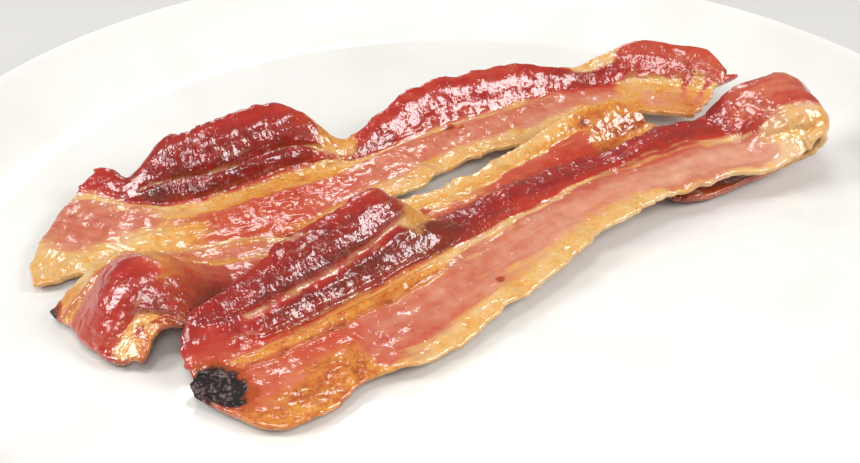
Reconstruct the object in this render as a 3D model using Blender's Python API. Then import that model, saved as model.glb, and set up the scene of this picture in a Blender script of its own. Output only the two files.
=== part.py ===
"""Three fried bacon strips lying over one another on a plain glazed plate."""
import math

import bmesh
import bpy
import numpy as np

MM = 0.001

# plate: a plain round dish with a foot ring
PLATE_RADIUS = 140.0
PLATE_RIM_HEIGHT = 20.5
PLATE_TOP = 7.0
PLATE_FLAT_RADIUS = 113.0
PLATE_BODY = 4.6
FOOT_OUTER = 88.0
FOOT_INNER = 83.0
PLATE_SIDES = 60

# bacon: how thick a slice is and how far pieces stay apart
SLICE = 2.6
EDGE_SHARE = 0.5
GAP = 0.35
CELL = 3.7
COLUMNS = 10
STEP = 1.0
SOFT_BEND = 9.0

# Each strip is a ribbon followed from one end to the other. Its long line is
# the fat line near the middle: start (x, y, height over the plate), then the
# direction in plan and the climb, in degrees, at distances along the strip.
# "back" and "front" are the widths on either side of that line and the
# angles at which those sides stand up; "left" and "right" trim the ends.
BACK_STRIP = {
    "start": (-96.0, 12.8, 3.0),
    "length": 200.0,
    "heading": ((0, -14), (20, -20), (43, 34), (67, 26), (85, 38), (100, 30),
                (138, 33), (151, 22), (163, 0), (178, -20), (188, -24), (192, 6),
                (201, 22)),
    "pitch": ((0, 0), (60, 2), (90, 2), (160, 0), (188, -4), (194, 12), (201, 14)),
    "back": ((0, 10), (5, 12.5), (9.5, 12), (12.5, 7), (15, 13.5), (18, 20.5),
             (24, 21), (31, 22.5), (40, 23.6), (48, 23.8), (56, 24.4), (62, 24),
             (69, 18.4), (77, 8.5), (84, 9.5), (90, 11.3), (96, 14.6), (102, 16),
             (112, 16), (120, 15.6), (130, 15.3), (138, 12.8), (144, 10.5),
             (149, 8), (153, 8.5), (158, 11.5), (164, 15.4), (172, 15), (182, 16.2),
             (201, 14)),
    "back_rise": ((0, 30), (9, 30), (13, 28), (17, 50), (31, 62), (47, 66),
                  (69, 62), (77, 45), (86, 55), (97, 60), (130, 56), (149, 45),
                  (161, 62), (178, 56), (189, 40), (201, 30)),
    "back_curl": 0.6,
    "front": ((0, 32), (13, 33), (25, 20), (39, 16), (55, 19), (75, 16), (82, 16),
              (90, 14.8), (100, 12.9), (110, 12.4), (120, 13.2), (128, 13.6),
              (148, 12.5), (182, 10), (201, 9)),
    "front_rise": ((0, -7), (189, -6)),
    "left": ((-1, 9), (-0.8, 3), (-0.5, 0.5), (-0.2, 0), (0, 0), (0.5, 1), (1, 3)),
    "right": ((-1, 17), (-0.5, 15), (0, 14), (0.4, 12.5), (0.52, 8), (0.58, 0),
              (0.64, 0), (0.7, 8), (0.8, 13), (1, 18)),
    "ripple": 0.5,
    "ripple_seed": 3,
}

MIDDLE_STRIP = {
    "start": (-79.0, -45.0, 1.0),
    "length": 172.0,
    "heading": ((0, 46), (35, 44), (47, 20), (59, 2), (72, 10), (92, 30),
                (127, 42), (171, 42)),
    "pitch": ((0, 56), (10, 52), (18, 30), (24, -5), (30, -45), (38, -50),
              (45, -12), (54, 3), (150, 1.5), (161, 12), (171, 16)),
    "back": ((0, 16.5), (10, 21), (24, 19.5), (34, 14), (47, 13.5), (59, 12),
             (75, 13.5), (90, 17.5), (100, 17.3), (110, 15.6), (120, 15.9),
             (130, 17), (140, 16.4), (152, 16.2), (162, 15), (172, 11)),
    "back_rise": ((0, 0), (10, -28), (24, -30), (36, -18), (50, 10), (90, 12),
                  (142, 15), (157, 44), (171, 42)),
    "back_curl": 0.5,
    "front": ((0, 14), (5, 12.5), (11, 11.5), (16, 15.5), (19, 18), (24, 16),
              (36, 12), (57, 12), (127, 12), (141, 8), (172, 8)),
    "front_rise": ((0, 0), (10, -34), (34, -40), (48, -8), (171, -5)),
    "left": ((-1, 4), (-0.5, 0), (0, 0), (0.5, 1), (1, 0.5)),
    "right": ((-1, 4), (-0.4, 1), (0.5, 0), (1, 4)),
    "ripple": 0.4,
    "ripple_seed": 8,
}

FRONT_STRIP = {
    "start": (-56.0, -58.0, 3.6),
    "length": 236.0,
    "heading": ((0, 24), (25, 36), (60, 42), (90, 40), (120, 28), (150, 24),
                (160, 19), (170, 12), (182, 12), (194, 18), (236, 25)),
    "pitch": ((0, 2), (60, 3), (130, 2), (153, 3), (159, 28), (164, 48), (169, 34),
              (175, 6), (181, -40), (186, -95), (191, -138), (197, -160),
              (205, -166), (215, -178), (236, -180)),
    "back": ((0, 11), (12, 16), (25, 20), (38, 22.5), (50, 25), (61, 25), (67, 19),
             (73, 12), (120, 12), (150, 13.5), (162, 14), (192, 13), (204, 9),
             (213, 5), (222, 3.5), (236, 3.5)),
    "back_rise": ((0, 8), (14, 34), (25, 51), (40, 56), (50, 62), (61, 60),
                  (68, 35), (75, 12), (120, 5), (153, 5), (160, 34), (167, 34),
                  (174, 10), (182, 0), (236, 0)),
    "back_curl": 0.9,
    "front": ((0, 9), (10, 20.5), (15, 21), (20, 21.5), (26, 19.5), (31, 18.5),
              (36, 20), (42, 22), (48, 21.8), (54, 20), (62, 20.4), (70, 19.6),
              (78, 19.2), (85, 17.8), (95, 15.5), (103, 14.2), (112, 13),
              (120, 11.4), (128, 10), (140, 10.4), (150, 10.8), (160, 11.5),
              (168, 13), (177, 12), (184, 9), (191, 5.5), (198, 3), (205, 3),
              (216, 4.5), (224, 6), (236, 6)),
    "front_rise": ((0, -10), (152, -10), (160, -26), (166, -58), (172, -72),
                   (180, -56), (188, -26), (198, -5), (236, 0)),
    "left": ((-1, 8), (-0.8, 3), (-0.5, 0), (0, 1), (0.7, 1), (1, 5)),
    "right": ((-1, 5), (-0.6, 1), (0, 0), (0.6, 2), (1, 6)),
    "ripple": 0.6,
    "ripple_seed": 5,
}


def clear_scene():
    for thing in list(bpy.data.objects):
        bpy.data.objects.remove(thing, do_unlink=True)


def make_material(name, colour, roughness):
    material = bpy.data.materials.new(name)
    material.use_nodes = True
    shader = material.node_tree.nodes["Principled BSDF"]
    shader.inputs["Base Color"].default_value = (*colour, 1.0)
    shader.inputs["Roughness"].default_value = roughness
    shader.inputs["Metallic"].default_value = 0.0
    return material


def add_object(name, bm, material):
    mesh = bpy.data.meshes.new(name)
    bm.to_mesh(mesh)
    bm.free()
    mesh.materials.append(material)
    mesh.shade_smooth()
    body = bpy.data.objects.new(name, mesh)
    bpy.context.scene.collection.objects.link(body)
    return body


def keyed(keys, at):
    """Values given at a few distances, eased from one to the next."""
    where, value = zip(*keys)
    span = int(SOFT_BEND / STEP) // 2
    fine = np.arange(at[0] - span * STEP, at[-1] + span * STEP + STEP / 2, STEP)
    weights = np.hanning(2 * span + 3)[1:-1]
    weights = weights / weights.sum()
    padded = np.pad(np.interp(fine, where, value), span, "edge")
    return np.interp(at, fine, np.convolve(padded, weights, "valid"))


def ease(low, high, x):
    t = np.clip((x - low) / (high - low), 0.0, 1.0)
    return t * t * (3.0 - 2.0 * t)


def waves(x, seed, count=4, longest=38.0):
    """Uneven wave of about unit height, always the same for one seed."""
    total = np.zeros_like(x)
    for k in range(count):
        length = longest / (1.0 + 0.83 * k)
        phase = 2.399 * (seed + 1) * (k + 1)
        total = total + np.sin(2.0 * math.pi * x / length + phase) / (1.0 + k)
    return total / 1.6


def long_line(strip, at):
    heading = np.radians(keyed(strip["heading"], at))
    pitch = np.radians(keyed(strip["pitch"], at))
    forward = np.stack([np.cos(pitch) * np.cos(heading),
                        np.cos(pitch) * np.sin(heading),
                        np.sin(pitch)], 1)
    middle = (forward[1:] + forward[:-1]) / 2.0
    travel = np.vstack([np.zeros(3), np.cumsum(middle * STEP, 0)])
    across = np.stack([-np.sin(heading), np.cos(heading), 0.0 * heading], 1)
    return np.array(strip["start"]) + travel, across, np.cross(forward, across)


def side_profile(width, rise, curl, shares):
    """One side of the cross-section: it lifts off the fat line and curls."""
    count = 24
    f = (np.arange(count) + 0.5) / count
    bend = ease(0.0, 0.35, f) - curl * ease(0.62, 1.0, f)
    angle = rise[:, None] * bend[None, :]
    run = np.cumsum(np.cos(angle) * width[:, None] / count, 1)
    lift = np.cumsum(np.sin(angle) * width[:, None] / count, 1)
    run = np.hstack([0.0 * width[:, None], run])
    lift = np.hstack([0.0 * width[:, None], lift])
    grid = np.linspace(0.0, 1.0, count + 1)
    out = np.array([np.interp(shares, grid, row) for row in run])
    up = np.array([np.interp(shares, grid, row) for row in lift])
    return out, up


def strip_sheet(strip, rows, columns):
    """Middle surface of a strip: rows along it, columns front to back."""
    at = np.arange(0.0, strip["length"] + STEP / 2, STEP)
    spine, across, up = long_line(strip, at)
    seed = strip["ripple_seed"]
    share = np.linspace(-1.0, 1.0, columns + 1)
    front_share = -share[share < -1e-9]
    back_share = share[share >= -1e-9]
    wide_back = keyed(strip["back"], at) * (1.0 + 0.03 * waves(at, seed))
    wide_front = keyed(strip["front"], at) * (1.0 + 0.04 * waves(at, seed + 4))
    rise_back = np.radians(keyed(strip["back_rise"], at))
    rise_front = np.radians(keyed(strip["front_rise"], at))
    back_out, back_up = side_profile(
        wide_back, rise_back, strip["back_curl"], back_share)
    front_out, front_up = side_profile(wide_front, rise_front, 0.5, front_share)
    out = np.hstack([-front_out, back_out])
    lift = np.hstack([front_up, back_up])
    edge = np.abs(share)[None, :] ** 2
    lift = lift + strip["ripple"] * edge * (
        waves(at, seed + 9, longest=26.0)[:, None] * (share < 0)[None, :]
        + 0.7 * waves(at, seed + 13, longest=30.0)[:, None] * (share > 0)[None, :])
    body = (spine[:, None, :] + out[:, :, None] * across[:, None, :]
            + lift[:, :, None] * up[:, None, :])
    begin = np.interp(share, *zip(*strip["left"]))
    stop = at[-1] - np.interp(share, *zip(*strip["right"]))
    part = np.linspace(0.0, 1.0, rows + 1)
    sheet = np.zeros((rows + 1, columns + 1, 3))
    for j in range(columns + 1):
        along = np.clip(begin[j] + (stop[j] - begin[j]) * part, 0.0, at[-1])
        for axis in range(3):
            sheet[:, j, axis] = np.interp(along, at, body[:, j, axis])
    lowest = GAP + SLICE / 2.0
    height = sheet[:, :, 2] - lowest
    sheet[:, :, 2] = lowest + 0.6 * np.log1p(np.exp(height / 0.6))
    return sheet


def outward(sheet):
    along = np.gradient(sheet, axis=0)
    over = np.gradient(sheet, axis=1)
    normal = np.cross(along, over)
    return normal / np.linalg.norm(normal, axis=2, keepdims=True)


def thickness(rows, columns):
    """Full slice in the middle, thinner towards the edges and ends."""
    share = np.abs(np.linspace(-1.0, 1.0, columns + 1))[None, :]
    part = np.abs(np.linspace(-1.0, 1.0, rows + 1))[:, None]
    near = np.maximum(share ** 8, part ** 60)
    return SLICE * (EDGE_SHARE + (1.0 - EDGE_SHARE) * np.sqrt(1.0 - near))


def faces_of(sheet):
    """Upper and lower face of the slice around its middle surface."""
    rows, columns = sheet.shape[0] - 1, sheet.shape[1] - 1
    half = outward(sheet) * thickness(rows, columns)[:, :, None] / 2.0
    return sheet + half, sheet - half


def spread(grid, fine=6):
    """Points spread evenly over every cell of a grid."""
    found = []
    for a in np.linspace(0.0, 1.0, fine):
        for b in np.linspace(0.0, 1.0, fine):
            found.append(grid[:-1, :-1] * (1 - a) * (1 - b) + grid[1:, :-1] * a * (1 - b)
                         + grid[:-1, 1:] * (1 - a) * b + grid[1:, 1:] * a * b)
    return np.stack(found)


def cover_map(sheets, reach=130):
    """Highest bacon over each square millimetre of the plate."""
    top = np.full((2 * reach + 1, 2 * reach + 1), -99.0)
    for sheet in sheets:
        for face in faces_of(sheet):
            points = spread(face).reshape(-1, 3)
            cells = np.rint(points[:, :2]).astype(int) + reach
            np.maximum.at(top, (cells[:, 0], cells[:, 1]), points[:, 2])
    wide = top.copy()
    for dx in (-1, 0, 1):
        for dy in (-1, 0, 1):
            wide = np.maximum(wide, np.roll(top, (dx, dy), (0, 1)))
    return wide


def soften(field):
    padded = np.pad(field, 1, "edge")
    beside = padded[2:, 1:-1] + padded[:-2, 1:-1] + padded[1:-1, 2:] + padded[1:-1, :-2]
    return (beside + field) / 5.0


def lay_over(sheet, below, reach=130):
    """Lift a strip until it lies clear on the strips underneath it."""
    top = cover_map(below)
    for turn in range(4):
        lower = faces_of(sheet)[1]
        points = spread(lower)
        cells = np.rint(points[..., :2]).astype(int) + reach
        need = top[cells[..., 0], cells[..., 1]] + GAP - points[..., 2]
        need = np.maximum(need.max(axis=0), 0.0)
        wanted = np.zeros(sheet.shape[:2])
        for dx in (0, 1):
            for dy in (0, 1):
                part = wanted[dx:dx + need.shape[0], dy:dy + need.shape[1]]
                np.maximum(part, need, out=part)
        lift = wanted.copy()
        for _ in range(6):
            lift = np.maximum(soften(lift), wanted)
        for _ in range(2):
            lift = soften(lift)
        sheet = sheet.copy()
        sheet[:, :, 2] += lift
    return sheet


def add_strip(name, sheet, material):
    """Slice of bacon: a grid bent to the middle surface, then thickened."""
    rows, columns = sheet.shape[0] - 1, sheet.shape[1] - 1
    share = thickness(rows, columns) / SLICE
    bm = bmesh.new()
    bmesh.ops.create_grid(bm, x_segments=rows, y_segments=columns, size=1.0)
    weights = []
    for vert in bm.verts:
        i = round((vert.co.x + 1.0) / 2.0 * rows)
        j = round((vert.co.y + 1.0) / 2.0 * columns)
        vert.co = sheet[i, j] * MM
        vert.co.z += PLATE_TOP * MM
        weights.append(float(share[i, j]))
    body = add_object(name, bm, material)
    group = body.vertex_groups.new(name="slice")
    for index, weight in enumerate(weights):
        group.add([index], weight, "REPLACE")
    slab = body.modifiers.new("Slice", "SOLIDIFY")
    slab.thickness = SLICE * MM
    slab.offset = 0.0
    slab.vertex_group = group.name
    slab.thickness_vertex_group = 0.0
    return body


def plate_profile():
    """Half section of the plate, from the middle of its top to underneath."""
    top = PLATE_TOP
    rim = PLATE_RIM_HEIGHT
    flat = PLATE_FLAT_RADIUS
    edge = PLATE_RADIUS
    under = top - PLATE_BODY
    upper = [(0.0, top), (flat * 0.5, top)]
    for k in range(6):
        t = k / 5.0
        upper.append((flat + (edge - 1.6 - flat) * t, top + (rim - top - 0.3) * t ** 1.7))
    lip = [(edge - 0.8, rim), (edge, rim - 0.8), (edge - 0.3, rim - 1.8)]
    lower = []
    for k in range(4):
        t = 1.0 - (k + 0.6) / 4.2
        lower.append((FOOT_OUTER + 6.0 + (edge - 6.0 - FOOT_OUTER - 1.5) * t,
                      under + (rim - 3.4 - under) * t ** 1.9))
    foot = [(FOOT_OUTER + 1.6, under), (FOOT_OUTER, 0.0), (FOOT_INNER, 0.0),
            (FOOT_INNER - 1.6, under), (0.0, under)]
    return upper + lip + lower + foot


def build_plate(material):
    bm = bmesh.new()
    line = [bm.verts.new((r * MM, 0.0, z * MM)) for r, z in plate_profile()]
    edges = [bm.edges.new(pair) for pair in zip(line, line[1:])]
    bmesh.ops.spin(bm, geom=line + edges, axis=(0.0, 0.0, 1.0), cent=(0.0, 0.0, 0.0),
                   angle=2.0 * math.pi, steps=PLATE_SIDES, use_merge=True)
    bmesh.ops.remove_doubles(bm, verts=bm.verts[:], dist=0.00001)
    bmesh.ops.recalc_face_normals(bm, faces=bm.faces[:])
    return add_object("plate", bm, material)


def build_strips():
    sheets = []
    for strip in (BACK_STRIP, MIDDLE_STRIP, FRONT_STRIP):
        rows = int(round(strip["length"] / CELL))
        sheet = strip_sheet(strip, rows, COLUMNS)
        if sheets:
            sheet = lay_over(sheet, sheets)
        sheets.append(sheet)
    colours = ((0.42, 0.07, 0.045), (0.55, 0.14, 0.06), (0.36, 0.06, 0.05))
    names = ("back", "middle", "front")
    for sheet, name, colour in zip(sheets, names, colours):
        material = make_material("fried_bacon_" + name, colour, 0.35)
        add_strip("strip_" + name, sheet, material)


clear_scene()
build_plate(make_material("white_glaze", (0.86, 0.85, 0.83), 0.12))
build_strips()
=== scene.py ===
import math

import bmesh
import bpy
import numpy as np
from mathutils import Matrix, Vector


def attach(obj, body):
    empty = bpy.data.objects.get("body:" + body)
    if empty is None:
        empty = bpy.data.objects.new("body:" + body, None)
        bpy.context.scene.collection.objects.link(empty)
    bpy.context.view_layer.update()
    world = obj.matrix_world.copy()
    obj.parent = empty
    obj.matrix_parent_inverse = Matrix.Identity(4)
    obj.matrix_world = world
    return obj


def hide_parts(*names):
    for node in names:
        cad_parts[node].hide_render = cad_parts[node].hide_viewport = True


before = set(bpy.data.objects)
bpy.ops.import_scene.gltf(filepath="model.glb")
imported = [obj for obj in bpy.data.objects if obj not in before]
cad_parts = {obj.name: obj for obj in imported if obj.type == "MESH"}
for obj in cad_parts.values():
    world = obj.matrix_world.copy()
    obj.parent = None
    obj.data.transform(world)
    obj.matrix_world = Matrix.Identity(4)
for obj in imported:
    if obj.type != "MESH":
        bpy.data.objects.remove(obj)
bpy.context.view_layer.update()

mm = 0.001
plateTop = 7.0       # height of the plate's flat, in mm
sliceThick = 2.6
edgeShare = 0.5      # thickness of a plain strip's edge as a share of the slice
gap = 0.35           # room left under each plain strip
cadCell = 3.7        # length of a plain strip's faces, and the number across it
cadColumns = 10
stepAlong = 1.0      # between the points of a strip's long line
softBend = 9.0       # length over which keyed values are eased
mapReach = 130       # the height map covers this much either way from the middle
mapCell = 0.5        # size of its squares under the detailed strips
roomUnder = 0.10     # least room under a detailed strip
roomOver = 0.75      # least height of its upper face over what it lies on


def ease(low, high, x):
    # 0 at low and 1 at high, with soft ends
    t = np.clip((x - low) / (high - low), 0.0, 1.0)
    return t * t * (3.0 - 2.0 * t)


def window(span):
    # weights of a soft mean over this many neighbours either way
    weights = np.hanning(2 * span + 3)[1:-1]
    return weights / weights.sum()


def keyed(keys, at):
    # values given at a few distances, eased from one to the next
    where, value = zip(*keys)
    span = int(softBend / stepAlong) // 2
    fine = np.arange(at[0] - span * stepAlong, at[-1] + span * stepAlong + stepAlong / 2, stepAlong)
    padded = np.pad(np.interp(fine, where, value), span, "edge")
    return np.interp(at, fine, np.convolve(padded, window(span), "valid"))


def waves(x, seed, longest=38.0):
    # a few sine waves added up, the longest this many mm
    total = np.zeros_like(x)
    for k in range(4):
        length = longest / (1.0 + 0.83 * k)
        total = total + np.sin(2.0 * math.pi * x / length + 2.399 * (seed + 1) * (k + 1)) / (1.0 + k)
    return total / 1.6


def softNoise(u, v, seed):
    # smooth bumps about one unit wide, from -1 to 1
    table = np.random.default_rng(seed).uniform(-1.0, 1.0, (256, 256))
    i, j = np.floor(u).astype(int), np.floor(v).astype(int)
    a, b = u - i, v - j
    a, b = a * a * a * (a * (a * 6 - 15) + 10), b * b * b * (b * (b * 6 - 15) + 10)
    near = table[i % 256, j % 256] * (1 - a) + table[(i + 1) % 256, j % 256] * a
    far = table[i % 256, (j + 1) % 256] * (1 - a) + table[(i + 1) % 256, (j + 1) % 256] * a
    return near * (1 - b) + far * b


def layered(u, v, seed, layers=3):
    # the same noise at three sizes, each half as large as the last
    total, size = 0.0 * u, 1.0
    for k in range(layers):
        total = total + softNoise(u / size, v / size, seed + 31 * k) * size
        size *= 0.5
    return total / 1.4


def blurred(field, span):
    # the soft mean, both ways of a grid
    for axis in (0, 1):
        field = np.apply_along_axis(
            lambda line: np.convolve(np.pad(line, span, "edge"), window(span), "valid"), axis, field)
    return field


def chart(rows, along, share):
    # rows of values along the strip, one for each share of its width, blended between rows
    places = np.array([row[0] for row in rows])
    values = np.stack([np.interp(along, *zip(*row[1])) for row in rows])
    at = np.interp(share, places, np.arange(len(places)))
    low = np.minimum(at.astype(int), len(places) - 2)
    part = ease(0.0, 1.0, at - low)
    lower = np.take_along_axis(values, low[None], 0)[0]
    upper = np.take_along_axis(values, low[None] + 1, 0)[0]
    return lower * (1.0 - part) + upper * part


# Each strip is followed from one end to the other, in mm and degrees. Its long line is the fat line
# near the middle: start (x, y, height over the plate), then heading in plan and pitch at distances
# along it. back and front are the widths on either side, backRise and frontRise the angles at
# which those sides stand up, and the curls bend them over again. left and right trim the ends.
# share runs from -1, the front edge, through 0, the fat line, to 1, the back edge.
backStrip = {
    "node": "strip_back", "slot": "bacon_back", "rows": 440, "columns": 104, "seed": 3,
    "start": (-96.0, 12.8, 3.0), "length": 200.0,
    "heading": ((0, -14), (20, -20), (43, 34), (67, 26), (85, 38), (100, 30), (138, 33), (151, 22),
        (163, 0), (178, -20), (188, -24), (192, 6), (201, 22)),
    "pitch": ((0, 0), (60, 2), (90, 2), (160, 0), (188, -4), (194, 12), (201, 14)),
    "back": ((0, 10), (5, 12.5), (9.5, 12), (12.5, 7), (15, 13.5), (18, 20.5), (24, 21), (31, 22.5),
        (40, 23.6), (48, 23.8), (56, 24.4), (62, 24), (69, 18.4), (77, 8.5), (84, 9.5), (90, 11.3),
        (96, 14.6), (102, 16), (112, 16), (120, 15.6), (130, 15.3), (138, 12.8), (144, 10.5), (149, 8),
        (153, 8.5), (158, 11.5), (164, 15.4), (172, 15), (182, 16.2), (201, 14)),
    "backRise": ((9, 30), (13, 28), (17, 50), (31, 62), (47, 66), (69, 62), (77, 45), (86, 55), (97, 60),
        (130, 56), (149, 45), (161, 62), (178, 56), (189, 40), (201, 30)),
    "backCurl": 0.6, "frontCurl": 0.5,
    "front": ((0, 32), (13, 33), (25, 20), (39, 16), (55, 19), (75, 16), (82, 16), (90, 14.8), (100, 12.9),
        (110, 12.4), (120, 13.2), (128, 13.6), (148, 12.5), (182, 10), (201, 9)),
    "frontRise": ((0, -7), (189, -6)),
    "left": ((-1, 9), (-0.8, 3), (-0.5, 0.5), (-0.2, 0), (0, 0), (0.5, 1), (1, 3)),
    "right": ((-1, 17), (-0.5, 15), (0, 14), (0.4, 12.5), (0.52, 8), (0.58, 0), (0.64, 0), (0.7, 8),
        (0.8, 13), (1, 18)),
    "ripple": 0.5,
    # 0 lean, 1 fat
    "fat": (
        (-1, ((28, 1), (36, 0.5), (50, 0.4), (60, 0.8), (75, 0.9), (160, 0.9), (172, 0.6), (189, 0.7))),
        (-0.72, ((0, 0.9), (20, 0.8), (29, 0.9), (34, 0.3), (55, 0.2), (75, 0.5), (90, 0.6), (125, 0.8),
            (150, 0.7), (160, 0.8), (170, 0.45), (189, 0.55))),
        (-0.45, ((0, 0.4), (15, 0.2), (23, 0.75), (32, 0.9), (37, 0.2), (50, 0.05), (80, 0.1), (120, 0.2),
            (145, 0.2), (156, 0.4), (163, 0.7), (172, 0.5), (189, 0.55))),
        (-0.2, ((22, 0.1), (29, 0.5), (35, 0.1), (140, 0.05), (157, 0.1), (162, 0.7), (172, 0.5),
            (189, 0.6))),
        (0, ((0, 0.3), (8, 0.35), (16, 0.3), (25, 0.6), (38, 0.8), (70, 0.8), (80, 0.3), (140, 0.2),
            (158, 0), (163, 0.5), (167, 0.85), (174, 0.6))),
        (0.12, ((0, 0.7), (12, 0.8), (19, 0.5), (26, 0.8), (40, 1), (76, 1), (86, 0.6), (110, 0.5),
            (140, 0.4), (148, 0.1), (158, 0), (163, 0.5), (167, 0.85), (174, 0.6))),
        (0.26, ((0, 0.55), (10, 0.6), (18, 0.1), (30, 0), (45, 0.2), (62, 0.4), (72, 0.9), (80, 0.6),
            (90, 0.25), (130, 0.45), (140, 0.2), (155, 0), (162, 0.3), (166, 0.9))),
        (0.4, ((14, 0.2), (20, 0), (66, 0), (74, 0.5), (80, 0.1), (160, 0), (166, 0.4), (176, 0.5),
            (186, 0.7))),
        (0.6, ((67, 0), (73, 0.7), (78, 0.6), (82, 0), (179, 0), (183, 0.3), (188, 0))),
        (0.8, ((0, 0.1), (66, 0), (71, 0.6), (77, 0.8), (82, 0.2), (86, 0), (147, 0), (153, 0.7),
            (160, 0.8), (163, 0), (177, 0), (183, 0.3))),
        (1, ((0, 0.3), (4, 0), (66, 0), (70, 0.6), (77, 0.9), (81, 0.4), (86, 0.1), (145, 0.1), (150, 0.6),
            (160, 0.9), (164, 0.1), (178, 0), (184, 0.5), (189, 0.8))),
    ),
    # 0 pale salmon lean, 0.5 red, 1 nearly black red
    "dark": (
        (-1, ((0, 0.25), (30, 0.3), (38, 0.5), (52, 0.5), (62, 0.3), (189, 0.22))),
        (-0.6, ((0, 0.25), (32, 0.3), (40, 0.48), (54, 0.46), (75, 0.26), (189, 0.2))),
        (-0.3, ((0, 0.3), (20, 0.28), (30, 0.28), (40, 0.46), (58, 0.52), (70, 0.4), (82, 0.26),
            (140, 0.22), (189, 0.24))),
        (0, ((0, 0.25), (40, 0.3), (56, 0.4), (75, 0.28), (140, 0.24), (150, 0.4), (158, 0.4),
            (165, 0.2))),
        (0.15, ((0, 0.25), (15, 0.5), (22, 0.7), (30, 0.35), (76, 0.3), (140, 0.28), (150, 0.5),
            (158, 0.55), (165, 0.25), (189, 0.3))),
        (0.33, ((0, 0.4), (12, 0.6), (20, 0.84), (30, 0.78), (60, 0.72), (76, 0.6), (84, 0.66), (95, 0.46),
            (140, 0.44), (150, 0.62), (158, 0.6), (166, 0.44), (182, 0.5), (189, 0.4))),
        (0.5, ((0, 0.5), (12, 0.62), (22, 0.72), (60, 0.7), (72, 0.58), (82, 0.7), (95, 0.5), (135, 0.48),
            (150, 0.66), (158, 0.62), (165, 0.48), (182, 0.52), (189, 0.4))),
        (0.75, ((0, 0.52), (12, 0.62), (25, 0.66), (60, 0.62), (80, 0.56), (100, 0.48), (130, 0.46),
            (150, 0.62), (158, 0.62), (165, 0.44), (189, 0.42))),
        (1, ((0, 0.5), (12, 0.55), (25, 0.58), (60, 0.54), (75, 0.5), (90, 0.5), (140, 0.46), (155, 0.5),
            (165, 0.42))),
    ),
    # 0 cream, 0.5 golden, 1 brown
    "gold": (
        (-1, ((28, 0.36), (36, 0.62), (52, 0.6), (62, 0.3), (160, 0.42), (189, 0.58))),
        (-0.3, ((0, 0.12), (24, 0.25), (36, 0.6), (60, 0.55), (78, 0.3), (140, 0.24), (165, 0.45),
            (189, 0.56))),
        (0.12, ((20, 0.25), (40, 0.4), (60, 0.55), (75, 0.4), (86, 0.25), (140, 0.2), (165, 0.34),
            (189, 0.45))),
        (0.45, ((60, 0.1), (75, 0.4), (90, 0.1), (160, 0.1), (186, 0.4), (192, 0.1))),
        (1, ((0, 0.5), (6, 0.1), (60, 0.1), (70, 0.5), (80, 0.5), (86, 0.1), (145, 0.1), (155, 0.45),
            (163, 0.1), (189, 0.6))),
    ),
    # along, share, radius along in mm, radius in share, strength
    "burnt": ((107.5, 0.11, 1.3, 0.06, 0.62), (110.5, 0, 0.9, 0.03, 0.4)),
    # a line: its path of (along, share), width and depth in mm, then the fat, gold and dark it adds
    "lines": (
        (((17, 0.42), (30, 0.5), (50, 0.49), (70, 0.52)), 0.9, 0.7, 0.35, 0.1, 0),
        (((14, 0.2), (26, 0.22), (46, 0.26), (66, 0.3)), 1.2, 0.55, 0, 0, 0),
        (((24, -0.5), (34, -0.3), (36, 0.02)), 1.6, -0.5, 0.1, 0, 0),
        (((178, 0.8), (180, 0.3), (179, -0.2)), 0.8, 0.3, -0.8, 0.2, 0),
        (((184, 0.9), (185, 0.4), (184, -0.3)), 0.6, 0.3, -0.7, 0.3, 0),
    ),
    # how strongly the lean is gathered into ridges running along the strip
    "groove": (
        (-1, ((0, 0),)), (0.15, ((0, 0),)),
        (0.35, ((0, 0), (16, 0.5), (66, 0.4), (74, 0))),
        (1, ((0, 0), (16, 0.5), (66, 0.5), (74, 0), (189, 0.1))),
    ),
}

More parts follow.
